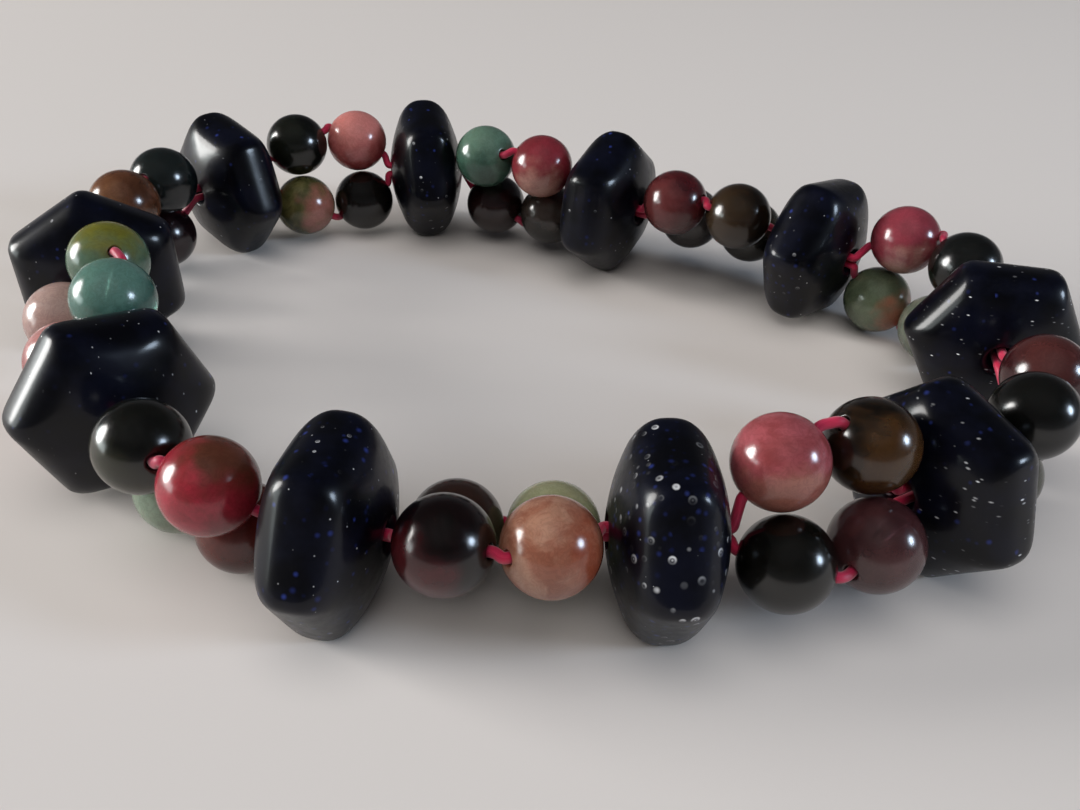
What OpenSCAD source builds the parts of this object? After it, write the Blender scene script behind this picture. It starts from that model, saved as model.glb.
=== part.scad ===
// Beaded stretch bracelet: ten six-sided glass tablets with four round stone beads in each gap between them,
// on two elastic threads that share each tablet's bore. It lies as a closed loop on the plane z = 0.

/* [Tablets] */
// Width of a tablet across two opposite rim flats
tablet_w = 12.5; // [11.5:0.1:13.5]
// Thickness of a tablet through its domed faces
tablet_t = 7.4; // [7.2:0.1:9]
// Width of the rim band, edge rounding included
rim_w = 5.8; // [5.3:0.1:6.2]
// Rounding of the rim's edges towards the faces
rim_round = 2.6; // [2:0.1:2.6]
// Rounding of the six corners of the rim
corner_round = 1.2; // [0.8:0.1:2]
// Radius of the crown that domes each face
crown_r = 4; // [3.6:0.1:4.4]
// Height of that crown
crown_rise = 0.7; // [0.5:0.1:0.9]
// Diameter of the bore that both threads share
bore_d = 2.1; // [2:0.05:2.4]
// Diameter of the bore's flared mouth
mouth_d = 2.9; // [2.7:0.1:3.4]

/* [Round beads] */
// Diameter of a round bead
bead_d = 6; // [5.6:0.1:7]
// Diameter of a round bead's hole
hole_d = 1.1; // [1.05:0.05:1.4]
// Diameter of the flared ends of a round bead's hole
hole_mouth_d = 1.6; // [1.5:0.1:2.4]

/* [String] */
// Thickness of one elastic thread
thread_d = 0.7; // [0.5:0.05:0.75]
// Clear space between beads that sit side by side
bead_gap = 0.1; // [0.1:0.05:0.3]
// Spare length of string at each tablet
slack = 0.7; // [0.4:0.1:1.5]
// How far the holes turn with the thread, 0 along the row of beads and 1 towards the tablet's bore
flare = 0.86; // [0.76:0.02:0.94]

/* [Hidden] */
GAPS = 10;
// Columns of TABLETS: the string's route on the plane, then the heading of the bore and the roll about it
X = 0;
Y = 1;
HEADING = 2;
ROLL = 3;
// One row for each tablet, counter-clockwise from the front left one
TABLETS = [
    [-12.3, -27.9,  -9.5,   0],
    [  7.8, -27.0,   3,     0],
    [ 25.9, -21.1,  32,    14],
    [ 36.4,  -1.1,  80.5,   0],
    [ 24.7,  13.2, 139.5,  10],
    [  5.6,  20.8, 149,   -23],
    [-13.4,  28.1, 192,    -9],
    [-32.2,  21.4, 228,   -10],
    [-37.1,   0.9, 288.5, -28],
    [-29.4, -16.7, 311.5,  -7]
];
// Columns of PAIRS: turn of strand a from upright towards the outside, in degrees, then, as shares of a
// bead's diameter, the lead of strand a over strand b and the shift of both outward, upward and along the gap
TURN = 0;
LEAD = 1;
OUT = 2;
LIFT = 3;
ALONG = 4;
// One row for each gap, from the tablet of the same row to the next
PAIRS = [
    [ 59, -0.07,  0.07, -0.03,  0.02],
    [-32,  0.05,  0.33,  0.28,  0.00],
    [  7, -0.18,  0.64, -0.05, -0.14],
    [ 10, -0.11,  0.50, -0.04, -0.02],
    [-56,  0.09,  0.17,  0.07, -0.02],
    [-19,  0.05, -0.04,  0.02, -0.08],
    [ 16,  0.02,  0.22, -0.03, -0.04],
    [-13,  0.08,  0.48, -0.04, -0.05],
    [-41,  0.03,  0.15,  0.31, -0.01],
    [ 25,  0.17,  0.39, -0.08,  0.11]
];

NIGHT = [0.03, 0.035, 0.08];
MAGENTA = [0.6, 0.05, 0.2];
BLACK = [0.04, 0.045, 0.04];
CHARCOAL = [0.08, 0.08, 0.09];
BROWN = [0.16, 0.1, 0.06];
OLIVE = [0.2, 0.17, 0.08];
GARNET = [0.3, 0.07, 0.09];
CRIMSON = [0.55, 0.12, 0.14];
PLUM = [0.35, 0.18, 0.22];
ROSE = [0.65, 0.3, 0.34];
BLUSH = [0.72, 0.52, 0.5];
CORAL = [0.75, 0.38, 0.28];
JADE = [0.25, 0.42, 0.33];
TEAL = [0.25, 0.45, 0.42];
SAGE = [0.42, 0.45, 0.33];
LIME = [0.38, 0.38, 0.12];
// One row for each gap: strand a's two beads and then strand b's two
SHADES = [
    [GARNET, CORAL, BROWN, SAGE],
    [ROSE, BROWN, BLACK, PLUM],
    [BLACK, GARNET, OLIVE, GARNET],
    [BLACK, ROSE, SAGE, JADE],
    [OLIVE, GARNET, BLACK, CHARCOAL],
    [ROSE, JADE, BLACK, GARNET],
    [ROSE, BLACK, BLACK, SAGE],
    [CHARCOAL, BROWN, GARNET, JADE],
    [LIME, TEAL, BLUSH, ROSE],
    [OLIVE, CRIMSON, JADE, GARNET]
];

UP = [0, 0, 1];
STRANDS = [1, -1];
PLACES = [-1, 1];
corner_reach = (tablet_w / 2 - corner_round) / cos(30);
// How much rounder the corners grow, for each unit that the rim's rounding falls away
corner_spread = 1.5;
crown_ball = (crown_r * crown_r + crown_rise * crown_rise) / (2 * crown_rise);
corner_steps = 5;
// Half the distance between the centres of beads that sit side by side
beside = (bead_d + bead_gap) / 2;
// Least height of a round bead over the plane
rest_gap = 0.1;
// Distance of each thread from the bore's middle, with equal space all round it
share = (bore_d + thread_d) / 6;
// Distance from a tablet's face, and from a round bead on its twin's side, at which a thread bends
bend_out = 0.15;
twin_out = 0.2;
thread_sides = 8;
// How far a cut runs past the surface that it opens
over = 0.5;

function unit(v) = v / norm(v);
function total(v, i = 0) = i < len(v) ? v[i] + total(v, i + 1) : 0;
function step_length(k) =
    let (a = TABLETS[k], b = TABLETS[(k + 1) % GAPS]) norm([b[X] - a[X], b[Y] - a[Y]]);

// The route is brought to the string's real length, so that tablets and beads of other sizes still fit
route_length = total([for (k = [0:GAPS - 1]) step_length(k)]);
string_length = GAPS * (tablet_t + 2 * bead_d + bead_gap + slack);
loop_scale = string_length / route_length;

// Height of a rolled tablet's centre when its lowest flat or corner touches the plane
function rest_height(roll) =
    let (off_flat = abs(roll - 60 * round(roll / 60))) corner_reach * cos(30 - off_flat) + corner_round;
function tablet_at(k) =
    let (row = TABLETS[(k + GAPS) % GAPS])
    [row[X] * loop_scale, row[Y] * loop_scale, rest_height(row[ROLL])];
function bore_way(k) = let (turn = TABLETS[(k + GAPS) % GAPS][HEADING]) [cos(turn), sin(turn), 0];

// Directions in a gap: along it, level towards the outside, and from strand b to strand a
function along(k) = unit(tablet_at(k + 1) - tablet_at(k));
function outward(k) = unit(cross(along(k), UP));
function strand_side(k) =
    let (turn = PAIRS[(k + GAPS) % GAPS][TURN]) cos(turn) * UP + sin(turn) * outward(k);

// Middle of a gap's four beads, high enough for the lowest bead to clear the plane
function pair_middle(k) =
    let (
        row = PAIRS[k],
        shift = row[OUT] * outward(k) + row[ALONG] * along(k),
        middle = (tablet_at(k) + tablet_at(k + 1)) / 2 + bead_d * shift,
        lowest = bead_d / 2 + rest_gap + beside * abs(cos(row[TURN]))
    ) [middle[0], middle[1], max(middle[2] + bead_d * row[LIFT], lowest)];

// Centre of a round bead: strand is 1 for a and -1 for b, place is -1 for a strand's first bead in the gap
// and 1 for its second
function bead_at(k, strand, place) =
    pair_middle(k)
    + (place * beside + strand * bead_d * PAIRS[k][LEAD] / 2) * along(k)
    + strand * beside * strand_side(k);

// Where a thread bends out of a tablet's bore: end is -1 where it enters the tablet and 1 where it leaves
function share_side(k) = let (v = strand_side(k - 1) + strand_side(k), t = bore_way(k)) unit(v - (v * t) * t);
function bore_end(k, strand, end) =
    tablet_at(k) + end * (tablet_t / 2 + bend_out) * bore_way(k) + strand * share * share_side(k);

// Direction of a round bead's hole, between that of its strand's two beads and that of the thread from
// the tablet
function hole_way(k, strand, place) =
    let (
        row_way = unit(bead_at(k, strand, 1) - bead_at(k, strand, -1)),
        near_end = place < 0 ? bore_end(k, strand, 1) : bore_end(k + 1, strand, -1),
        thread_way = unit(place * (near_end - bead_at(k, strand, place)))
    ) unit((1 - flare) * row_way + flare * thread_way);

// A thread's route: through each tablet's bore, then straight through the two beads' holes in the gap
// after it
function gap_route(k, strand) = [
    bore_end(k, strand, -1),
    bore_end(k, strand, 1),
    for (place = PLACES)
        for (end = [-1, 1])
            bead_at(k, strand, place)
                + end * (bead_d / 2 + (end == place ? 0 : twin_out)) * hole_way(k, strand, place)
];
function thread_route(strand) = [for (k = [0:GAPS - 1]) each gap_route(k, strand)];

// A closed tube round a closed route
module closed_tube(route, diameter, sides) {
    count = len(route);
    ways = [for (i = [0:count - 1])
        unit(unit(route[i] - route[(i + count - 1) % count]) + unit(route[(i + 1) % count] - route[i]))];
    points = [for (i = [0:count - 1])
        let (level = unit(cross(ways[i], UP)), rise = cross(level, ways[i]))
        for (s = [0:sides - 1])
            route[i] + diameter / 2 * (cos(360 * s / sides) * level + sin(360 * s / sides) * rise)];
    faces = [for (i = [0:count - 1])
        for (s = [0:sides - 1])
            let (next_ring = (i + 1) % count * sides, next_side = (s + 1) % sides)
            [i * sides + s, i * sides + next_side, next_ring + next_side, next_ring + s]];
    polyhedron(points, faces, convexity = 10);
}

// A hole along Z through the middle, with a flared mouth at each end of its length
module flared_hole(diameter, mouth, length) {
    depth = (mouth - diameter) / 2;
    cylinder(h = length + 2 * over, d = diameter, center = true, $fn = 48);
    for (side = [0, 1])
        mirror([0, 0, side])
            translate([0, 0, length / 2 - depth])
                cylinder(h = depth + over, d1 = diameter, d2 = mouth + 2 * over, $fn = 48);
}

// One ring of a tablet: a hexagon at height z, its flats at the given reach and its corners rounded
function tablet_ring(flat_reach, corner, z) =
    let (middle = (flat_reach - corner) / cos(30)) [
        for (i = [0:5])
            for (turn = [-30:60 / corner_steps:30])
                [
                    middle * cos(60 * i) + corner * cos(60 * i + turn),
                    middle * sin(60 * i) + corner * sin(60 * i + turn),
                    z
                ]
    ];
function crown_height(r) = tablet_t / 2 - crown_ball + sqrt(crown_ball * crown_ball - r * r);

// A polished tablet about Z: six rim flats, broadly rounded edges and a domed crown on each face
module tablet_body() {
    half = [
        for (r = [mouth_d / 3, (mouth_d / 3 + crown_r) / 2, crown_r]) [r, r, crown_height(r)],
        for (turn = [66, 44, 22, 0])
            let (fall = rim_round * (1 - cos(turn)), flat_reach = tablet_w / 2 - fall)
            [
                flat_reach,
                min(corner_round + corner_spread * fall, flat_reach),
                rim_w / 2 - rim_round * (1 - sin(turn))
            ]
    ];
    last = len(half) - 1;
    profile = [for (i = [0:last]) half[i], for (i = [last:-1:0]) [half[i][0], half[i][1], -half[i][2]]];
    count = 6 * (corner_steps + 1);
    points = [for (ring = profile) each tablet_ring(ring[0], ring[1], ring[2])];
    walls = [for (j = [0:len(profile) - 2])
        for (i = [0:count - 1])
            let (here = j * count, next = (i + 1) % count)
            each [
                [here + i, here + next, here + count + next],
                [here + i, here + count + next, here + count + i]
            ]];
    top = [for (i = [count - 1:-1:0]) i];
    bottom = [for (i = [0:count - 1]) (len(profile) - 1) * count + i];
    polyhedron(points, concat(walls, [top, bottom]), convexity = 4);
}

module tablet(k) {
    color(NIGHT)
        translate(tablet_at(k))
            rotate([90, 0, 90 + TABLETS[k][HEADING]])
                rotate([0, 0, TABLETS[k][ROLL]])
                    difference() {
                        tablet_body();
                        flared_hole(bore_d, mouth_d, tablet_t);
                    }
}

module bead(k, strand, place) {
    way = hole_way(k, strand, place);
    color(SHADES[k][1 - strand + (1 + place) / 2])
        translate(bead_at(k, strand, place))
            rotate([0, acos(way[2]), atan2(way[1], way[0])])
                difference() {
                    sphere(d = bead_d, $fn = 64);
                    flared_hole(hole_d, hole_mouth_d, sqrt(bead_d * bead_d - hole_mouth_d * hole_mouth_d));
                }
}

module thread(strand) {
    color(MAGENTA)
        closed_tube(thread_route(strand), thread_d, thread_sides);
}

function letter(strand) = strand > 0 ? "a" : "b";
function tablet_name(k) = str("tablet_", k + 1);
function bead_name(k, strand, place) = str("bead_", k + 1, "_", letter(strand), place < 0 ? 1 : 2);
function thread_name(strand) = str("thread_", letter(strand));

for (k = [0:GAPS - 1])
    tablet(k);
for (k = [0:GAPS - 1])
    for (strand = STRANDS)
        for (place = PLACES)
            bead(k, strand, place);
for (strand = STRANDS)
    thread(strand);
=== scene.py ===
"""Beaded stretch bracelet: fine, finished tablets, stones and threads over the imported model."""
import math
import random

import bmesh
import bpy
import numpy as np
from mathutils import Matrix, Vector


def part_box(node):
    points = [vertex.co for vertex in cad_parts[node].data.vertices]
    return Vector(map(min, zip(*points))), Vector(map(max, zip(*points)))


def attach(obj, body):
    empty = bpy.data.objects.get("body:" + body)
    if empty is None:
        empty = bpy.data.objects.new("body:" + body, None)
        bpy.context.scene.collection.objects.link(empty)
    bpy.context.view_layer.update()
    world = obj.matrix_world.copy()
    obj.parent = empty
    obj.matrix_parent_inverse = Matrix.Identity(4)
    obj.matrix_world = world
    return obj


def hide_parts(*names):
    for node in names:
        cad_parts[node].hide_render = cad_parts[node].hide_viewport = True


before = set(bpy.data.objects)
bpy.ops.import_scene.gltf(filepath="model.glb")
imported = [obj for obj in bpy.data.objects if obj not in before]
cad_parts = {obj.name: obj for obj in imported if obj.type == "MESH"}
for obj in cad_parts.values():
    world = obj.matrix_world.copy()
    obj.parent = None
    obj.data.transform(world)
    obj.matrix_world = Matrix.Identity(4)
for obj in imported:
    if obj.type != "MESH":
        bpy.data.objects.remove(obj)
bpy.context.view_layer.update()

MM = 0.001

# The part's own sizes, in mm
TABLET_W, TABLET_T = 12.5, 7.4
RIM_W, RIM_ROUND, CORNER_ROUND, CORNER_SPREAD = 5.8, 2.6, 1.2, 1.5
CROWN_R, CROWN_RISE = 4.0, 0.7
BORE_D, BEAD_D, THREAD_D = 2.1, 6.0, 0.7
BEAD_GAP, SLACK, REST_GAP = 0.1, 0.7, 0.1
# A thread bends this far outside a stone, on the side of the other stone of its strand
TWIN_OUT = 0.2
# A shown thread runs straight a little farther than the part's before it bends: outside a tablet's
# face, where the part has 0.15, and outside a stone on the side of its tablet, where it has 0
SHOWN_BEND_OUT, BORE_SIDE_OUT = 0.26, 0.1
# How far a hole turns from the row of stones towards the tablet's bore. The part's own has 0.86.
FLARE = 0.7
# The shown holes and bores are narrower than the part's own, which leave room for wider threads.
# The photograph doesn't show how wide the real ones are.
SHOWN_HOLE_D, SHOWN_MOUTH_D, SHOWN_BORE_D, SHOWN_BORE_MOUTH_D = 0.88, 1.08, 1.9, 2.5
# How far a shown piece's box may be off its node's box, in mm
STONE_STRAY, THREAD_STRAY = 0.3, 0.5

# Where each tablet sits: x, y, heading of its bore, roll about it
TABLETS = [
    (-12.3, -27.9, -9.5, 0),
    (7.8, -27.0, 3, 0),
    (25.9, -21.1, 32, 14),
    (36.4, -1.1, 80.5, 0),
    (24.7, 13.2, 139.5, 10),
    (5.6, 20.8, 149, -23),
    (-13.4, 28.1, 192, -9),
    (-32.2, 21.4, 228, -10),
    (-37.1, 0.9, 288.5, -28),
    (-29.4, -16.7, 311.5, -7),
]
# How each gap's four stones sit: turn, lead, out, lift, along
PAIRS = [
    (59, -0.07, 0.07, -0.03, 0.02),
    (-32, 0.05, 0.33, 0.28, 0.00),
    (7, -0.18, 0.64, -0.05, -0.14),
    (10, -0.11, 0.50, -0.04, -0.02),
    (-56, 0.09, 0.17, 0.07, -0.02),
    (-19, 0.05, -0.04, 0.02, -0.08),
    (16, 0.02, 0.22, -0.03, -0.04),
    (-13, 0.08, 0.48, -0.04, -0.05),
    (-41, 0.03, 0.15, 0.31, -0.01),
    (25, 0.17, 0.39, -0.08, 0.11),
]
GAPS = len(TABLETS)
UP = np.array([0.0, 0.0, 1.0])


# The part's layout, worked out as its source does
def unit(v):
    return v / np.linalg.norm(v)


def tablet_row(k):
    return TABLETS[k % GAPS]


def route_scale():
    steps = [math.dist(tablet_row(k)[:2], tablet_row(k + 1)[:2]) for k in range(GAPS)]
    return GAPS * (TABLET_T + 2 * BEAD_D + BEAD_GAP + SLACK) / sum(steps)


SCALE = route_scale()
CORNER_REACH = (TABLET_W / 2 - CORNER_ROUND) / math.cos(math.radians(30))
BESIDE = (BEAD_D + BEAD_GAP) / 2
SHARE = (BORE_D + THREAD_D) / 6


def tablet_at(k):
    x, y, _, roll = tablet_row(k)
    off_flat = abs(roll - 60 * round(roll / 60))
    z = CORNER_REACH * math.cos(math.radians(30 - off_flat)) + CORNER_ROUND
    return np.array([x * SCALE, y * SCALE, z])


def bore_way(k):
    turn = math.radians(tablet_row(k)[2])
    return np.array([math.cos(turn), math.sin(turn), 0.0])


def along(k):
    return unit(tablet_at(k + 1) - tablet_at(k))


def outward(k):
    return unit(np.cross(along(k), UP))


def strand_side(k):
    turn = math.radians(PAIRS[k % GAPS][0])
    return math.cos(turn) * UP + math.sin(turn) * outward(k)


def pair_middle(k):
    turn, _, out, lift, ahead = PAIRS[k % GAPS]
    middle = (tablet_at(k) + tablet_at(k + 1)) / 2 + BEAD_D * (out * outward(k) + ahead * along(k))
    lowest = BEAD_D / 2 + REST_GAP + BESIDE * abs(math.cos(math.radians(turn)))
    return np.array([middle[0], middle[1], max(middle[2] + BEAD_D * lift, lowest)])


def bead_at(k, strand, place):
    lead = PAIRS[k % GAPS][1]
    ahead = place * BESIDE + strand * BEAD_D * lead / 2
    return pair_middle(k) + ahead * along(k) + strand * BESIDE * strand_side(k)


def share_side(k):
    v, t = strand_side(k - 1) + strand_side(k), bore_way(k)
    return unit(v - (v @ t) * t)


def bore_end(k, strand, end):
    out = end * (TABLET_T / 2 + SHOWN_BEND_OUT)
    return tablet_at(k) + out * bore_way(k) + strand * SHARE * share_side(k)


def hole_way(k, strand, place):
    row_way = unit(bead_at(k, strand, 1) - bead_at(k, strand, -1))
    near = bore_end(k, strand, 1) if place < 0 else bore_end(k + 1, strand, -1)
    thread_way = unit(place * (near - bead_at(k, strand, place)))
    return unit((1 - FLARE) * row_way + FLARE * thread_way)


def thread_route(strand):
    route = []
    for k in range(GAPS):
        route += [bore_end(k, strand, -1), bore_end(k, strand, 1)]
        for place in (-1, 1):
            for end in (-1, 1):
                out = BEAD_D / 2 + (BORE_SIDE_OUT if end == place else TWIN_OUT)
                route.append(bead_at(k, strand, place) + end * out * hole_way(k, strand, place))
    return route


def seeded(name):
    """A random source that is the same each run for a given piece."""
    return random.Random(sum((i + 1) * ord(c) for i, c in enumerate(name)))


def linear(red, green, blue, gain=1.0):
    """A colour given as it looks on screen, 0 to 255, in the shader's linear values."""
    def one(v):
        v /= 255
        return min(1.0, gain * (v / 12.92 if v <= 0.04045 else ((v + 0.055) / 1.055) ** 2.4))
    return (one(red), one(green), one(blue), 1.0)


# Mesh helpers
def mesh_piece(name, points, faces, node, uv=None):
    """A shown piece in place of a CAD node, from points in mm. Any uv has a row for each corner."""
    mesh = bpy.data.meshes.new(name)
    mesh.from_pydata([tuple(p * MM) for p in points], [], faces)
    mesh.validate()
    mesh.polygons.foreach_set("use_smooth", [True] * len(mesh.polygons))
    if uv is not None:
        layer = mesh.uv_layers.new(name="along")
        layer.data.foreach_set("uv", np.asarray(uv, float).ravel())
    mesh.update()
    piece = bpy.data.objects.new(name, mesh)
    bpy.context.scene.collection.objects.link(piece)
    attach(piece, "root")
    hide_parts(node)
    return piece


def closed_rings(rings, count):
    """Faces of a torus-like skin through a closed list of rings of count points each."""
    faces = []
    for j in range(rings):
        for i in range(count):
            a, b = j * count, (j + 1) % rings * count
            n = (i + 1) % count
            faces.append((a + i, a + n, b + n, b + i))
    return faces


def basis(way, side):
    """Rows: across, other across and along a direction."""
    x = unit(side - (side @ way) * way)
    return np.array([x, np.cross(way, x), way])


# Points on each rounded corner and each flat side of a tablet's outline
ARC_STEPS, FLAT_STEPS = 10, 7


def hex_outline(flat_reach, corner):
    """A tablet's outline at one level: points round a hexagon of rounded corners."""
    middle = (flat_reach - corner) / math.cos(math.radians(30))

    def on_corner(at, way):
        return np.stack([middle * math.cos(at) + corner * np.cos(way),
                         middle * math.sin(at) + corner * np.sin(way)], axis=-1)

    ring = []
    for i in range(6):
        here, following = math.radians(60 * i), math.radians(60 * i + 60)
        arc = here + np.radians(np.linspace(-30, 30, ARC_STEPS + 1))
        points = on_corner(here, arc)
        side = on_corner(following, arc[-1]) - points[-1]
        flat = [points[-1] + side * s for s in np.linspace(0, 1, FLAT_STEPS + 2)[1:-1]]
        ring += [*points, *flat]
    return np.array(ring)


# The tablet's skin: rings on its crown and its rim, and the rim's turn in degrees where they meet
CROWN_RINGS, RIM_RINGS, RIM_TURN = 9, 13, 66
# Passes of wear, waves of unevenness, their pitch per mm, how deep they go as a share of the
# distance from the middle, and over how many mm from the bore's mouth they set in
WEAR_PASSES, WAVES, WAVE_PITCH, UNEVEN, UNEVEN_FADE = 2, 5, 0.35, 0.016, 1.5


def tablet_skin(name):
    """Rings of a polished tablet about Z with its drilled bore, softly worn where faces meet."""
    ball = (CROWN_R ** 2 + CROWN_RISE ** 2) / (2 * CROWN_RISE)
    bore_r, mouth_r = SHOWN_BORE_D / 2, SHOWN_BORE_MOUTH_D / 2

    def level(xy, z):
        return np.column_stack([xy, np.full(len(xy), z)])

    def crown(r):
        return level(hex_outline(r, r), TABLET_T / 2 - ball + math.sqrt(ball * ball - r * r))

    def rim(turn):
        fall = RIM_ROUND * (1 - math.cos(math.radians(turn)))
        reach = TABLET_W / 2 - fall
        corner = min(CORNER_ROUND + CORNER_SPREAD * fall, reach)
        z = RIM_W / 2 - RIM_ROUND * (1 - math.sin(math.radians(turn)))
        return level(hex_outline(reach, corner), z)

    half = [crown(r) for r in np.linspace(mouth_r, CROWN_R, CROWN_RINGS)]
    edge = rim(RIM_TURN)
    half += [half[-1] + (edge - half[-1]) * s for s in (0.33, 0.67)]
    half += [rim(turn) for turn in np.linspace(RIM_TURN, 0, RIM_RINGS)]
    half = np.array(half)
    skin = np.concatenate([half, half[::-1] * [1, 1, -1]])
    # Wear softens each ridge: the skin is averaged along its own profile, its ends held, and
    # round each ring
    for _ in range(WEAR_PASSES):
        inner = skin[1:-1] * 0.5 + (skin[:-2] + skin[2:]) * 0.25
        skin = np.concatenate([skin[:1], inner, skin[-1:]])
        skin = skin * 0.6 + (np.roll(skin, 1, axis=1) + np.roll(skin, -1, axis=1)) * 0.2
    # Hand grinding leaves each face a little uneven, always inward
    rng = seeded(name)
    waves = [(np.array([rng.gauss(0, 1) for _ in range(3)]) * WAVE_PITCH, rng.uniform(0, 6.3))
             for _ in range(WAVES)]
    uneven = sum(0.5 + 0.5 * np.sin(skin @ w + p) for w, p in waves) / len(waves)
    fade = np.clip((np.linalg.norm(skin[:, :, :2], axis=2) - mouth_r) / UNEVEN_FADE, 0, 1)
    skin = skin * (1 - UNEVEN * uneven * fade)[:, :, None]
    # The bore's upper half, from the tablet's middle to its flared mouth
    mouth_z = crown(mouth_r)[0][2]
    depth = mouth_r - bore_r
    bore = np.array([level(hex_outline(r, r), z) for r, z in [
        (bore_r, 0), (bore_r, mouth_z / 2), (bore_r, mouth_z - depth - 0.08),
        (bore_r + 0.03, mouth_z - depth + 0.02), (mouth_r - 0.05, mouth_z - 0.04)]])
    below = bore[:0:-1] * [1, 1, -1]
    return np.concatenate([bore, skin, below])


def make_tablet(k):
    name = f"tablet_{k + 1}"
    rings = tablet_skin(name)
    _, _, heading, roll = tablet_row(k)
    turn = (Matrix.Rotation(math.radians(90 + heading), 3, "Z")
            @ Matrix.Rotation(math.radians(90), 3, "X")
            @ Matrix.Rotation(math.radians(roll), 3, "Z"))
    points = rings.reshape(-1, 3) @ np.array(turn).T + tablet_at(k)
    faces = closed_rings(len(rings), rings.shape[1])
    piece = mesh_piece(name + "_glass", points, [f[::-1] for f in faces], name)
    # On its round levels a flat side's points fall together, so they are joined there
    skin = bmesh.new()
    skin.from_mesh(piece.data)
    bmesh.ops.remove_doubles(skin, verts=skin.verts, dist=0.001 * MM)
    skin.to_mesh(piece.data)
    skin.free()
    piece.modifiers.new("face_normals", "WEIGHTED_NORMAL").weight = 60
    return piece


STONE_SIDES, STONE_STEPS = 64, 46


def make_stone(name, centre, way):
    """A polished ball, drilled along way, its hole flared and softened at both ends."""
    r, hole, mouth = BEAD_D / 2, SHOWN_HOLE_D / 2, SHOWN_MOUTH_D / 2
    top = math.sqrt(r * r - mouth * mouth)
    # Radius and height: up the hole, round its mouth, down the ball and in at the other mouth
    profile = [(hole, 0), (hole, 1.3), (hole, top - 0.3), (hole + 0.01, top - 0.16),
               (mouth - 0.06, top - 0.07), (mouth - 0.02, top - 0.03), (mouth + 0.02, top - 0.01)]
    bend = len(profile) - 1
    first = math.asin(mouth / r) + 0.03
    profile += [(r * math.sin(t), r * math.cos(t))
                for t in np.linspace(first, math.pi - first, STONE_STEPS + 1)]
    profile += [(x, -z) for x, z in profile[bend:0:-1]]
    across = basis(way, UP if abs(way[2]) < 0.8 else np.array([1.0, 0, 0]))
    angles = np.linspace(0, 2 * math.pi, STONE_SIDES, endpoint=False)
    circle = np.column_stack([np.cos(angles), np.sin(angles), np.zeros(STONE_SIDES)])
    points = np.concatenate([circle * x + [0, 0, z] for x, z in profile]) @ across + centre
    faces = closed_rings(len(profile), STONE_SIDES)
    return mesh_piece(name + "_stone", points, [f[::-1] for f in faces], name)


# A thread's rounded bends: how far they reach in mm and as a share of a leg, their steps, and the
# length of the pieces between them
BEND_REACH, BEND_SHARE, BEND_STEPS, STRAIGHT_STEP = 0.28, 0.42, 5, 0.6
THREAD_SIDES = 14


def softened(route):
    """A closed route with its corners rounded."""
    out = []
    for i, p in enumerate(route):
        following = route[(i + 1) % len(route)]
        a, b = route[i - 1] - p, following - p
        la, lb = np.linalg.norm(a), np.linalg.norm(b)
        start = p + a / la * min(BEND_REACH, BEND_SHARE * la)
        end = p + b / lb * min(BEND_REACH, BEND_SHARE * lb)
        for t in np.linspace(0, 1, BEND_STEPS + 1):
            out.append((1 - t) ** 2 * start + 2 * t * (1 - t) * p + t * t * end)
        far = following - b / lb * min(BEND_REACH, BEND_SHARE * lb)
        pieces = max(1, int(lb / STRAIGHT_STEP))
        out += [end + (far - end) * s / pieces for s in range(1, pieces)]
    return out


def make_thread(name, strand):
    """A round thread along its closed route, with its length in u and its girth in v."""
    route = softened(thread_route(strand))
    n = len(route)
    angles = np.linspace(0, 2 * math.pi, THREAD_SIDES, endpoint=False)
    points, run = [], [0.0]
    for i, here in enumerate(route):
        following = route[(i + 1) % n]
        way = unit(unit(here - route[i - 1]) + unit(following - here))
        level = unit(np.cross(way, UP))
        rise = np.cross(way, level)
        points += [here + THREAD_D / 2 * (math.cos(a) * level + math.sin(a) * rise) for a in angles]
        run.append(run[-1] + np.linalg.norm(following - here))
    uv = []
    for j in range(n):
        u0, u1 = run[j] / run[-1], run[j + 1] / run[-1]
        for i in range(THREAD_SIDES):
            v0, v1 = i / THREAD_SIDES, (i + 1) / THREAD_SIDES
            uv += [(u0, v0), (u0, v1), (u1, v1), (u1, v0)]
    faces = closed_rings(n, THREAD_SIDES)
    return mesh_piece(name + "_elastic", points, faces, name, uv=uv)


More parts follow.
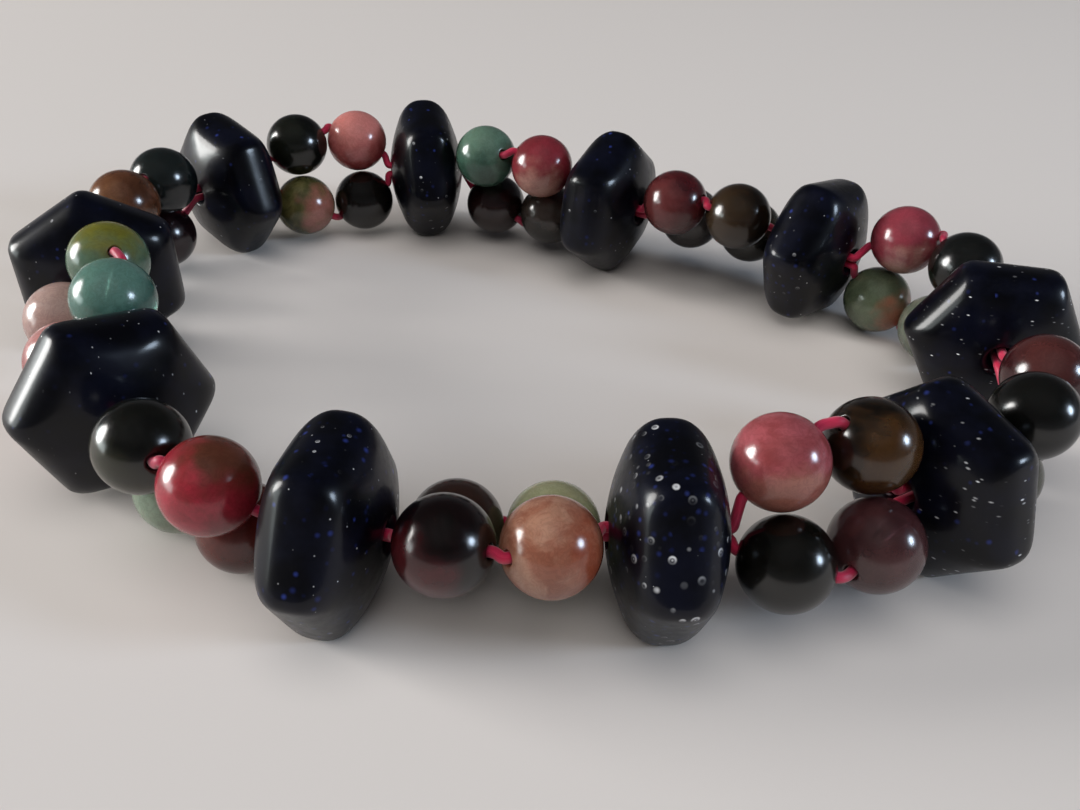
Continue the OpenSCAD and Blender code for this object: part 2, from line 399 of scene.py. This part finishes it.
class Nodes:
    """A new material's nodes, with short ways to add to them."""

    def __init__(self, name):
        self.material = bpy.data.materials.new(name)
        self.material.use_nodes = True
        self.tree = self.material.node_tree
        self.shader = self.tree.nodes["Principled BSDF"]

    def add(self, kind, **values):
        node = self.tree.nodes.new(kind)
        for key, value in values.items():
            setattr(node, key, value)
        return node

    def put(self, value, socket):
        """Links another node's output to a socket, or sets the socket to a plain value."""
        if isinstance(value, bpy.types.NodeSocket):
            self.tree.links.new(value, socket)
        else:
            socket.default_value = value

    def fill(self, node, **values):
        for key, value in values.items():
            self.put(value, node.inputs[key.replace("_", " ")])

    def set(self, **values):
        self.fill(self.shader, **values)

    def math(self, operation, a, b=None, clamp=False):
        node = self.add("ShaderNodeMath", operation=operation, use_clamp=clamp)
        self.put(a, node.inputs[0])
        if b is not None:
            self.put(b, node.inputs[1])
        return node.outputs[0]

    def product(self, a, b, c):
        return self.math("MULTIPLY", self.math("MULTIPLY", a, b), c)

    def vector(self, operation, a, b=None, out=0):
        node = self.add("ShaderNodeVectorMath", operation=operation)
        self.put(a, node.inputs[0])
        if b is not None:
            self.put(b, node.inputs[1])
        return node.outputs[out]

    def dot(self, a, b):
        return self.vector("DOT_PRODUCT", a, b, out=1)

    def scaled(self, a, by):
        node = self.add("ShaderNodeVectorMath", operation="SCALE")
        self.put(a, node.inputs[0])
        self.put(by, node.inputs["Scale"])
        return node.outputs[0]

    def step(self, value, low, high, to_low=0.0, to_high=1.0):
        """A smooth step from one value to another."""
        node = self.add("ShaderNodeMapRange", interpolation_type="SMOOTHSTEP")
        self.fill(node, Value=value, From_Min=low, From_Max=high, To_Min=to_low, To_Max=to_high)
        return node.outputs[0]

    def noise(self, where, scale, detail=3.0, roughness=0.5, distortion=0.0):
        node = self.add("ShaderNodeTexNoise")
        self.fill(node, Vector=where, Scale=scale, Detail=detail, Roughness=roughness,
                  Distortion=distortion)
        return node.outputs["Fac"]

    def mix(self, factor, a, b, blend="MIX"):
        node = self.add("ShaderNodeMix", data_type="RGBA", blend_type=blend)
        for place, value in ((0, factor), (6, a), (7, b)):
            self.put(value, node.inputs[place])
        return node.outputs[2]

    def bump(self, height, strength, distance):
        """A bumped normal, its distance in metres."""
        node = self.add("ShaderNodeBump")
        self.fill(node, Strength=strength, Distance=distance, Height=height)
        return node.outputs[0]

    def place(self):
        return self.add("ShaderNodeTexCoord").outputs["Object"]


def local_place(n, centre):
    """Object coordinates from a piece's centre, in mm."""
    return n.scaled(n.vector("SUBTRACT", n.place(), tuple(centre * MM)), 1 / MM)


def moved_place(n, place, rng):
    """The same moved by a way of the piece's own, so that no two have the same pattern."""
    return n.vector("ADD", place, tuple(rng.uniform(20, 90) for _ in range(3)))


# Dark glass full of flecks: share and radius in mm of the silver rings, which draw flecks as blurred
# glints with a painted highlight, share and radius of silver dots, share of blue ones, and how much
# each axis is squeezed before the silver ones are placed, which draws them out into strokes
ROUND = (1.0, 1.0, 1.0)
FLECKS = [
    (0.12, 0.17, 0.16, 0.080, 0.45, ROUND),
    (0.66, 0.29, 0.07, 0.070, 0.55, ROUND),
    (0.00, 0.20, 0.20, 0.150, 0.30, (0.55, 0.9, 1.6)),
    (0.00, 0.16, 0.32, 0.110, 0.12, (0.50, 0.8, 1.5)),
    (0.30, 0.20, 0.10, 0.080, 0.35, ROUND),
    (0.10, 0.18, 0.05, 0.080, 0.12, ROUND),
    (0.30, 0.20, 0.10, 0.080, 0.15, ROUND),
    (0.08, 0.16, 0.06, 0.080, 0.15, ROUND),
    (0.05, 0.14, 0.14, 0.085, 0.10, (1.0, 1.0, 0.6)),
    (0.04, 0.14, 0.17, 0.090, 0.10, (1.0, 1.0, 0.55)),
]
# Cells per mm that each hold a ring, a dot or a blue glow, how the last two fields are shifted
# from the first, and how fast the flecks of each kind grow faint
RING_CELLS, DOT_CELLS, BLUE_CELLS = 1.25, 2.6, 1.7
DOT_SHIFT, BLUE_SHIFT = (3.1, 5.7, 1.3), (7.3, 2.1, 4.7)
RING_FADE, DOT_FADE, BLUE_FADE = 2.6, 1.1, 1.5
BLUE_RADIUS, SMALLEST_FLECK = 0.27, 0.65
# Which way a ring is painted brightest: a painted highlight on that side
PAINTED_LIGHT_WAY = (0.1, -0.35, 0.87)
GLASS_BLACK, GLASS_BLUE = (0.0012, 0.0013, 0.0024, 1), (0.0026, 0.0032, 0.0085, 1)
GLOW_BLUE, SILVER = (0.02, 0.033, 0.17, 1), (0.95, 0.96, 1.0, 1)
FLECK_SLANT, FLECK_METAL = 1.2, 0.6


def fleck_cells(n, field, scale, reach, share, fade):
    """One fleck to a cell: the cells' node, the distance from the fleck in its own radii, whether
    the cell has one, and how bright it is."""
    cells = n.add("ShaderNodeTexVoronoi", feature="F1")
    n.fill(cells, Vector=field, Scale=scale)
    parts = n.add("ShaderNodeSeparateColor")
    n.put(cells.outputs["Color"], parts.inputs[0])
    pick, width, light = parts.outputs[:3]
    size = n.step(width, 0.0, 1.0, SMALLEST_FLECK * reach * scale, reach * scale)
    away = n.math("DIVIDE", cells.outputs["Distance"], size)
    return cells, away, n.math("LESS_THAN", pick, share), n.math("POWER", light, fade)


def goldstone(k):
    silver, radius, dots, dot_radius, blue, squeeze = FLECKS[k]
    n = Nodes(f"goldstone_{k + 1}")
    moved = moved_place(n, local_place(n, tablet_at(k)), seeded(f"flecks {k}"))
    drawn = n.vector("MULTIPLY", moved, squeeze)

    # Silver flecks: rings drawn like blurred glints, with a painted highlight on their upper side, and
    # fine dots
    cells, away, there, light = fleck_cells(n, drawn, RING_CELLS, radius, silver, RING_FADE)
    offset = n.vector("NORMALIZE", n.vector("SUBTRACT", drawn, cells.outputs["Position"]))
    painted_lit_side = n.step(n.dot(offset, PAINTED_LIGHT_WAY), -0.7, 0.9, 0.12, 1.0)
    ring = n.math("MULTIPLY", n.step(away, 0.25, 0.78), n.step(away, 0.72, 1.15, 1.0, 0.0))
    core = n.step(away, 0.0, 0.45, 0.6, 0.0)
    rings = n.product(n.math("ADD", n.math("MULTIPLY", ring, painted_lit_side), core), there, light)
    dot_field = n.vector("ADD", drawn, DOT_SHIFT)
    dot_cells, far, found, shine = fleck_cells(n, dot_field, DOT_CELLS, dot_radius, dots, DOT_FADE)
    specks = n.product(n.step(far, 0.2, 1.0, 1.0, 0.0), found, shine)
    clouds = n.noise(moved, 0.35)
    thick = n.step(clouds, 0.4, 0.58, 0.3, 1.0)
    bright = n.math("MULTIPLY", n.math("MAXIMUM", rings, specks), thick)

    # Blue ones glow softly from deeper in the glass
    blue_field = n.vector("ADD", moved, BLUE_SHIFT)
    _, deep, seen, depth = fleck_cells(n, blue_field, BLUE_CELLS, BLUE_RADIUS, blue, BLUE_FADE)
    glow = n.product(n.step(deep, 0.0, 1.0, 1.0, 0.0), seen, depth)
    body = n.mix(n.step(clouds, 0.35, 0.7), GLASS_BLACK, GLASS_BLUE)
    body = n.mix(bright, n.mix(glow, body, GLOW_BLUE), SILVER)
    n.set(Base_Color=body, Metallic=n.math("MULTIPLY", bright, FLECK_METAL),
          Specular_IOR_Level=0.07, Coat_Weight=0.42, Coat_Roughness=0.18, Coat_IOR=1.5,
          Roughness=n.step(n.noise(moved, 1.4, 4.0, 0.6), 0.3, 0.8, 0.36, 0.48))

    # Each fleck lies at its own slant under the polished skin, which is a little wavy
    own = n.mix(found, cells.outputs["Color"], dot_cells.outputs["Color"])
    slant = n.scaled(n.vector("SUBTRACT", own, (0.5, 0.5, 0.5)), FLECK_SLANT)
    normal = n.add("ShaderNodeNewGeometry").outputs["Normal"]
    n.set(Normal=n.vector("NORMALIZE", n.vector("ADD", normal, n.scaled(slant, bright))),
          Coat_Normal=n.bump(n.noise(moved, 0.5, 2.0), 0.3, 0.00003))
    return n.material


# Each stone: main colour, its second tone, a patch's colour, which way the patch faces, how far it
# spreads, the size of its cloudy tones, how clear it is, and its material slot. Mostly the patch is the
# stone's own tone; on some stones it is painted light, as marked at their rows
FRONT, TOP, LEFT = (0.0, -1.0, -0.1), (0.0, -0.3, 0.95), (-0.75, -0.6, 0.2)
STONES = {
    # 1_a1: its burgundy patch at the lower left is painted glow of light shining through the stone
    "1_a1": ((9, 4, 3), (16, 5, 5), (72, 20, 24), (-0.6, -0.75, -0.3), 0.30, 0.8, 0.25, "garnet"),
    "1_a2": ((156, 116, 96), (132, 82, 64), (128, 62, 40), (0.85, -0.4, 0.25), 0.2, 1.3, 0.15, "coral"),
    "1_b1": ((24, 14, 11), (38, 24, 20), (48, 30, 24), TOP, 0.4, 0.9, 0.25, "brown"),
    "1_b2": ((138, 148, 108), (116, 122, 86), (160, 162, 128), TOP, 0.5, 0.9, 0.35, "sage"),
    # 2_a1: its paler patch on the lower front is a painted reflection of the floor
    "2_a1": ((144, 74, 80), (121, 55, 57), (144, 92, 80), (0.1, -0.8, -0.6), 0.35, 1.1, 0.10, "rose"),
    "2_a2": ((12, 8, 4), (34, 22, 11), (66, 42, 18), (0.35, -0.85, 0.1), 0.40, 2.4, 0.25, "brown"),
    "2_b1": ((4, 4, 3), (10, 9, 6), (15, 14, 10), FRONT, 0.5, 1.2, 0.10, "black"),
    "2_b2": ((77, 44, 46), (58, 30, 33), (88, 57, 57), FRONT, 0.3, 1.0, 0.45, "plum"),
    "3_a1": ((3, 3, 2), (7, 7, 5), (11, 11, 9), TOP, 0.6, 1.0, 0.10, "black"),
    "3_a2": ((56, 16, 18), (44, 12, 15), (78, 40, 38), TOP, 0.4, 1.0, 0.35, "garnet"),
    "3_b1": ((34, 34, 26), (46, 46, 34), (60, 60, 44), TOP, 0.5, 0.9, 0.35, "olive"),
    "3_b2": ((70, 30, 32), (52, 22, 24), (84, 48, 46), FRONT, 0.4, 1.0, 0.25, "garnet"),
    "4_a1": ((4, 4, 3), (9, 9, 7), (14, 15, 14), TOP, 0.6, 1.0, 0.10, "black"),
    # 4_a2: its pale patch on the lower front is a painted reflection of the floor
    "4_a2": ((140, 58, 70), (122, 50, 60), (164, 130, 118), (0.0, -0.75, -0.65), 0.15, 0.7, 0.25, "rose"),
    "4_b1": ((108, 114, 100), (88, 96, 84), (140, 140, 126), TOP, 0.4, 0.9, 0.45, "sage"),
    "4_b2": ((94, 104, 82), (78, 88, 68), (160, 106, 84), (0.6, -0.75, -0.3), 0.25, 0.9, 0.35, "jade"),
    "5_a1": ((34, 23, 13), (20, 13, 7), (48, 35, 22), LEFT, 0.4, 1.1, 0.25, "olive"),
    "5_a2": ((77, 24, 28), (58, 17, 22), (94, 43, 43), LEFT, 0.4, 1.0, 0.30, "garnet"),
    "5_b1": ((16, 15, 12), (28, 26, 22), (40, 38, 32), TOP, 0.6, 1.0, 0.10, "black"),
    "5_b2": ((30, 28, 28), (44, 40, 40), (58, 52, 50), TOP, 0.5, 1.0, 0.20, "charcoal"),
    # 6_a1: its pale patch on the lower front is a painted reflection of the floor
    "6_a1": ((126, 42, 52), (108, 38, 44), (164, 120, 108), (-0.1, -0.8, -0.6), 0.25, 0.7, 0.25, "rose"),
    "6_a2": ((70, 102, 87), (54, 81, 69), (92, 118, 102), TOP, 0.4, 0.9, 0.30, "jade"),
    "6_b1": ((22, 20, 18), (38, 33, 29), (51, 42, 37), TOP, 0.6, 1.0, 0.15, "black"),
    "6_b2": ((18, 6, 6), (11, 4, 4), (32, 13, 12), FRONT, 0.4, 1.0, 0.25, "garnet"),
    "7_a1": ((161, 86, 84), (139, 62, 62), (180, 112, 106), TOP, 0.5, 1.0, 0.15, "rose"),
    "7_a2": ((6, 7, 5), (12, 13, 10), (19, 21, 15), LEFT, 0.6, 1.0, 0.15, "black"),
    "7_b1": ((4, 3, 2), (8, 6, 4), (12, 10, 8), TOP, 0.6, 1.0, 0.10, "black"),
    "7_b2": ((98, 92, 56), (68, 68, 36), (146, 92, 82), (0.75, -0.6, 0.1), 0.2, 1.6, 0.30, "sage"),
    "8_a1": ((8, 11, 11), (15, 19, 20), (21, 26, 25), TOP, 0.6, 1.0, 0.15, "charcoal"),
    "8_a2": ((91, 56, 37), (66, 38, 23), (110, 74, 49), LEFT, 0.4, 1.1, 0.25, "brown"),
    "8_b1": ((18, 5, 8), (28, 10, 13), (38, 18, 22), FRONT, 0.4, 1.0, 0.25, "garnet"),
    "8_b2": ((80, 108, 94), (60, 84, 70), (104, 124, 108), TOP, 0.5, 1.0, 0.30, "jade"),
    "9_a1": ((92, 118, 98), (78, 102, 84), (112, 110, 40), (0.1, 0.1, 0.95), 0.35, 0.9, 0.35, "lime"),
    "9_a2": ((68, 110, 100), (53, 89, 80), (91, 126, 115), TOP, 0.5, 0.9, 0.35, "teal"),
    "9_b1": ((164, 134, 128), (142, 108, 104), (172, 146, 138), TOP, 0.4, 0.9, 0.30, "blush"),
    "9_b2": ((158, 92, 94), (136, 74, 76), (176, 124, 120), TOP, 0.3, 0.9, 0.25, "rose"),
    # 10_a1: its lighter grey-green patch at the lower left is a painted reflection
    "10_a1": ((8, 8, 6), (14, 14, 10), (44, 44, 30), (-0.6, -0.7, -0.5), 0.35, 1.2, 0.25, "olive"),
    # 10_a2: its crimson below the brown top is partly painted glow of light shining through the stone
    "10_a2": ((156, 40, 56), (126, 32, 42), (84, 46, 32), (0.35, 0.0, 0.95), 0.3, 0.9, 0.25, "crimson"),
    "10_b1": ((112, 134, 112), (92, 112, 92), (136, 152, 132), FRONT, 0.4, 1.0, 0.40, "jade"),
    "10_b2": ((81, 26, 20), (60, 17, 15), (95, 39, 31), TOP, 0.4, 1.0, 0.30, "garnet"),
}
# All the stones' colours are lightened by this
STONE_GAIN = 1.25
# How far a patch's border wanders, and how far it fades outside and inside that border
PATCH_WANDER, PATCH_OUTSIDE, PATCH_INSIDE = 1.3, 0.42, 0.3
VEIN_SHARPNESS, VEIN_STRENGTH, VEIN_SHADE = 14.0, 0.35, (0.55, 0.5, 0.48, 1)


def stone(name, centre, row):
    main, second, patch_tone_or_painted_light, way, spread, cloud, clear, _ = row
    main, second, patch_tone_or_painted_light = (linear(*colour, gain=STONE_GAIN) for colour in (main, second, patch_tone_or_painted_light))
    n = Nodes("stone_" + name)
    place = local_place(n, centre)
    moved = moved_place(n, place, seeded("stone " + name))
    body = n.mix(n.step(n.noise(moved, 0.42 * cloud, 4.0, 0.55, 0.6), 0.36, 0.64), main, second)
    # A patch of another tone on one side, with a wandering border; on some stones it is painted light, a
    # painted reflection or a painted glow, as marked in STONES
    facing = n.dot(n.scaled(place, 2 / BEAD_D), tuple(unit(np.array(way))))
    wander = n.math("MULTIPLY", n.math("SUBTRACT", n.noise(moved, 0.5), 0.5), PATCH_WANDER)
    edge = 1.0 - spread
    inside = n.step(n.math("ADD", facing, wander), edge - PATCH_OUTSIDE, edge + PATCH_INSIDE)
    body = n.mix(inside, body, patch_tone_or_painted_light)
    # Fine darker veins
    off_vein = n.math("ABSOLUTE", n.math("SUBTRACT", n.noise(moved, 1.5, 5.0, 0.65, 1.2), 0.5))
    vein = n.math("SUBTRACT", 1.0, n.math("MULTIPLY", off_vein, VEIN_SHARPNESS, clamp=True))
    body = n.mix(n.math("MULTIPLY", vein, VEIN_STRENGTH), body, VEIN_SHADE, blend="MULTIPLY")
    n.set(Base_Color=body, IOR=1.58, Specular_IOR_Level=0.5, Transmission_Weight=clear,
          Subsurface_Weight=0.35, Subsurface_Radius=(1.0, 0.6, 0.5), Subsurface_Scale=0.0014,
          Roughness=n.step(n.noise(moved, 2.2, 4.0, 0.6), 0.3, 0.8, 0.17, 0.24),
          Normal=n.bump(n.noise(moved, 0.7, 2.0), 0.2, 0.000008))
    return n.material


# How the fibres' pattern is stretched along and round a thread
FIBRE_STRETCH = (90, 14, 1)


def elastic(strand):
    n = Nodes("elastic_" + ("a" if strand > 0 else "b"))
    stretch = n.add("ShaderNodeMapping")
    n.fill(stretch, Vector=n.add("ShaderNodeUVMap", uv_map="along").outputs[0], Scale=FIBRE_STRETCH)
    fibres = n.noise(stretch.outputs[0], 2.0, 4.0, 0.6)
    tone = n.step(n.noise(n.scaled(n.place(), 1 / MM), 0.5), 0.3, 0.7)
    body = n.mix(tone, linear(140, 12, 52), linear(184, 24, 66))
    body = n.mix(n.step(fibres, 0.45, 0.7, 0.0, 0.5), body, linear(206, 56, 94))
    n.set(Base_Color=body, Subsurface_Weight=0.25, Subsurface_Radius=(1.0, 0.25, 0.3),
          Subsurface_Scale=0.0004, Sheen_Weight=0.25, Sheen_Roughness=0.5,
          Roughness=n.step(fibres, 0.3, 0.8, 0.42, 0.62), Normal=n.bump(fibres, 0.6, 0.00003))
    return n.material


def close_to(piece, node, allowed):
    """Stops if a fine piece's box is more than so many mm off that of the node it stands for."""
    lo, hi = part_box(node)
    points = np.array([tuple(v.co) for v in piece.data.vertices])
    off = np.abs([points.min(0) - np.array(lo), points.max(0) - np.array(hi)]).max() / MM
    if off > allowed:
        raise ValueError(f"{piece.name} is {off:.3f} mm off {node}")


for k in range(GAPS):
    tablet = make_tablet(k)
    tablet.data.materials.append(goldstone(k))
    close_to(tablet, f"tablet_{k + 1}", STONE_STRAY)
    for strand in (1, -1):
        for place in (-1, 1):
            short = f"{k + 1}_{'a' if strand > 0 else 'b'}{1 if place < 0 else 2}"
            row, centre = STONES[short], bead_at(k, strand, place)
            way = hole_way(k, strand, place)
            piece = make_stone("bead_" + short, centre, way)
            piece.data.materials.append(stone(short, centre, row))
            close_to(piece, "bead_" + short, STONE_STRAY)
for strand, name in ((1, "thread_a"), (-1, "thread_b")):
    piece = make_thread(name, strand)
    piece.data.materials.append(elastic(strand))
    close_to(piece, name, THREAD_STRAY)

# Floor
FLOOR_REACH = 1.5
corners = [(x * FLOOR_REACH, y * FLOOR_REACH, 0) for x, y in ((-1, -1), (1, -1), (1, 1), (-1, 1))]
floor_mesh = bpy.data.meshes.new("floor")
floor_mesh.from_pydata(corners, [], [(0, 1, 2, 3)])
floor = bpy.data.objects.new("floor", floor_mesh)
bpy.context.scene.collection.objects.link(floor)
paper = Nodes("pale_floor")
paper.set(Base_Color=linear(206, 200, 196), Roughness=0.9, Specular_IOR_Level=0.2)
floor_mesh.materials.append(paper.material)

# Light: each lamp's place, width and height in metres, watts, colour, shape, and whether the
# pieces reflect it
AIM = (0, 0, 0.01)
LAMPS = {
    "window_left": ((-0.93, 0.06, 0.25), 0.38, 0.46, 9.6, (1.0, 0.98, 0.955), "ELLIPSE", True),
    "window_haze": ((-0.95, -0.04, 0.13), 0.80, 0.25, 3.4, (0.90, 1.0, 0.99), "RECTANGLE", True),
    "window_right": ((0.62, -0.15, 0.27), 0.16, 0.16, 2.0, (0.66, 0.81, 1.0), "ELLIPSE", True),
    "soft_overhead": ((-0.10, -0.35, 0.95), 1.3, 1.3, 8.1, (1.0, 0.985, 0.97), "ELLIPSE", False),
}
for name, (at, width, height, watts, colour, shape, reflected) in LAMPS.items():
    lamp = bpy.data.lights.new(name, "AREA")
    lamp.shape, lamp.size, lamp.size_y = shape, width, height
    lamp.energy, lamp.color = watts, colour
    thing = bpy.data.objects.new(name, lamp)
    thing.location = at
    thing.rotation_euler = (Vector(AIM) - Vector(at)).to_track_quat("-Z", "Y").to_euler()
    thing.visible_camera, thing.visible_glossy = False, reflected
    bpy.context.scene.collection.objects.link(thing)

# Studio: lighter below than above
STUDIO_LOW, STUDIO_HIGH = (0.15, 0.15, 0.16, 1), (0.035, 0.036, 0.04, 1)
world = bpy.data.worlds.new("studio")
bpy.context.scene.world = world
world.use_nodes = True
tree = world.node_tree
background = tree.nodes["Background"]
ramp = tree.nodes.new("ShaderNodeValToRGB")
split = tree.nodes.new("ShaderNodeSeparateXYZ")
coords = tree.nodes.new("ShaderNodeTexCoord")
tree.links.new(coords.outputs["Generated"], split.inputs[0])
tree.links.new(split.outputs["Z"], ramp.inputs[0])
for stop, position, colour in zip(ramp.color_ramp.elements, (0.0, 0.5), (STUDIO_LOW, STUDIO_HIGH)):
    stop.position, stop.color = position, colour
tree.links.new(ramp.outputs[0], background.inputs["Color"])
background.inputs["Strength"].default_value = 1.0
bpy.context.scene.view_settings.view_transform = "Standard"

# Camera at the photograph's place: 34.5 degrees down, with a little roll
PITCH, ROLL = math.radians(34.51), math.radians(2.87)
CAMERA_AT = (-0.0002, -0.0731, 0.0468)
SENSOR, FOCAL_PIXELS, PHOTO_PIXELS = 36, 1008, 1080
ahead = Vector((0, math.cos(PITCH), -math.sin(PITCH)))
level_right = Vector((1, 0, 0))
level_up = level_right.cross(ahead)
right = math.cos(ROLL) * level_right + math.sin(ROLL) * level_up
up = -math.sin(ROLL) * level_right + math.cos(ROLL) * level_up
camera_data = bpy.data.cameras.new("camera")
camera_data.sensor_width = SENSOR
camera_data.lens = SENSOR * FOCAL_PIXELS / PHOTO_PIXELS
camera_data.clip_start, camera_data.clip_end = 0.001, 10
camera = bpy.data.objects.new("camera", camera_data)
turn = Matrix((right, up, -ahead)).transposed().to_4x4()
camera.matrix_world = Matrix.Translation(CAMERA_AT) @ turn
bpy.context.scene.collection.objects.link(camera)
bpy.context.scene.camera = camera
